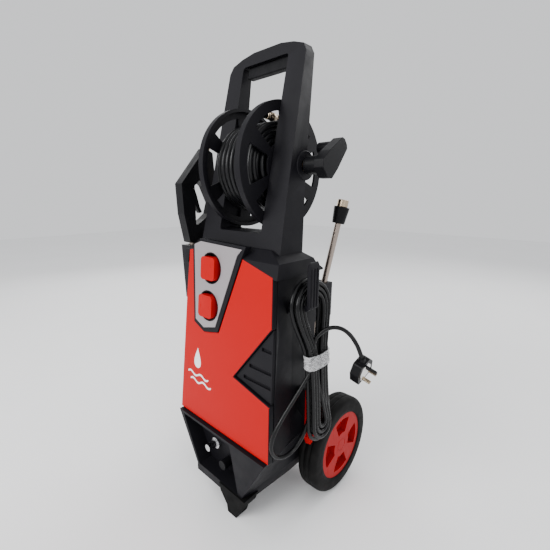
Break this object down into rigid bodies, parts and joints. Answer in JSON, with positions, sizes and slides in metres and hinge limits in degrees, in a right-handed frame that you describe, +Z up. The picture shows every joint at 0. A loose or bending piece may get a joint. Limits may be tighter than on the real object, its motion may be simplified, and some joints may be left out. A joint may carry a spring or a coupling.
{
  "type": "pressure washer",
  "caption": "Upright electric pressure washer on two wheels with a hose reel between its handle posts, a stored spray gun, a lance and a wound power cord.",
  "frame": {"origin": "on the floor below the middle of the machine", "axes": "+Z up, the front faces -Y, +X is the crank and cord side"},
  "size_m": [0.4537, 0.34, 0.956],
  "materials": {
    "black_plastic": "moulded black plastic, fine grain",
    "gun_plastic": "moulded black plastic, slightly smoother",
    "red_plastic": "glossy red moulding",
    "red_hub": "satin red moulding",
    "red_knob": "glossy red knob",
    "silver_panel": "satin silver",
    "soft_grip": "soft-touch grip",
    "tyre_rubber": "solid tyre with a worn tread",
    "foot_rubber": "moulded rubber",
    "cord_sheath": "smooth black cable sheath",
    "hose_rubber": "satin black high-pressure hose",
    "bright_steel": "turned and brushed",
    "chromed": "polished",
    "brass_fitting": "machined brass",
    "cast_metal": "cast",
    "motor_body": "painted casting"
  },
  "bodies": {
    "chassis": {"base_shell": "black_plastic", "front_feet": "foot_rubber", "rear_shell": "black_plastic", "front_cover": "red_plastic", "louvre_panel": "black_plastic", "fascia_bezel": "black_plastic", "control_fascia": "silver_panel", "knob_cups": "black_plastic", "handle_frame": "black_plastic", "handle_grip": "soft_grip", "top_cover": "black_plastic", "reel_bearings": "black_plastic", "reel_bushes": "brass_fitting", "rear_grille": "black_plastic", "wheel_guards": "red_plastic", "axle": "bright_steel", "axle_spacers": "black_plastic", "gun_holster": "black_plastic", "lance_clip": "black_plastic", "lance_socket": "black_plastic", "cord_hook": "black_plastic", "cord_gland": "black_plastic", "cord_hank": "cord_sheath", "cord_lead_in": "cord_sheath", "cord_free_end": "cord_sheath", "cord_front_loop": "cord_sheath", "plug_body": "gun_plastic", "plug_pins": "brass_fitting", "motor": "motor_body", "pump_block": "cast_metal", "switch_box": "black_plastic", "pressure_regulator": "brass_fitting", "inlet_connector": "chromed", "outlet_coupling": "gun_plastic", "casing_screws": "bright_steel"},
    "reel": {"reel_shaft": "bright_steel", "reel_drum": "black_plastic", "reel_flanges": "black_plastic", "wound_hose": "hose_rubber", "hose_fitting": "brass_fitting", "crank_arm": "gun_plastic", "crank_grip_pin": "bright_steel"},
    "crank_handle": {"crank_grip": "gun_plastic"},
    "left_wheel": {"wheel_left_tyre": "tyre_rubber", "wheel_left_hub": "red_hub", "wheel_left_cap": "red_hub"},
    "right_wheel": {"wheel_right_tyre": "tyre_rubber", "wheel_right_hub": "red_hub", "wheel_right_cap": "red_hub"},
    "power_switch": {"power_knob": "red_knob"},
    "pressure_dial": {"pressure_knob": "red_knob"},
    "gun": {"gun_shell_outer": "gun_plastic", "gun_shell_inner": "gun_plastic", "trigger_pin": "bright_steel", "gun_barrel": "bright_steel", "gun_hose_inlet": "brass_fitting"},
    "trigger": {"gun_trigger": "gun_plastic"},
    "lance": {"lance_tube": "bright_steel", "lance_collar": "gun_plastic", "lance_nozzle": "brass_fitting"}
  },
  "joints": [
    {"name": "reel_spin", "type": "hinge", "parent": "chassis", "child": "reel", "pos_m": [0, -0.021, 0.728], "axis": [1, 0, 0], "continuous": true},
    {"name": "crank_grip_spin", "type": "hinge", "parent": "reel", "child": "crank_handle", "pos_m": [0.13, 0.01616, 0.76146], "axis": [1, 0, 0], "continuous": true},
    {"name": "left_wheel_spin", "type": "hinge", "parent": "chassis", "child": "left_wheel", "pos_m": [-0.15, 0.06, 0.11], "axis": [1, 0, 0], "continuous": true},
    {"name": "right_wheel_spin", "type": "hinge", "parent": "chassis", "child": "right_wheel", "pos_m": [0.15, 0.06, 0.11], "axis": [1, 0, 0], "continuous": true},
    {"name": "power_knob_turn", "type": "hinge", "parent": "chassis", "child": "power_switch", "pos_m": [-0.043, -0.1299, 0.525], "axis": [0, -0.9968, 0.0805], "range_deg": [-90, 0]},
    {"name": "pressure_knob_turn", "type": "hinge", "parent": "chassis", "child": "pressure_dial", "pos_m": [-0.048, -0.13644, 0.444], "axis": [0, -0.9968, 0.0805], "range_deg": [-270, 0]},
    {"name": "gun_lift", "type": "slide", "parent": "chassis", "child": "gun", "axis": [0, 0, 1], "range_m": [0, 0.16]},
    {"name": "trigger_pull", "type": "hinge", "parent": "gun", "child": "trigger", "pos_m": [-0.16, -0.094, 0.687], "axis": [1, 0, 0], "range_deg": [0, 9], "stiffness_Nm_per_rad": 1.5, "springref_deg": -8.59},
    {"name": "lance_lift", "type": "slide", "parent": "chassis", "child": "lance", "axis": [0.1246, 0.1472, 0.9812], "range_m": [0, 0.2]}
  ]
}
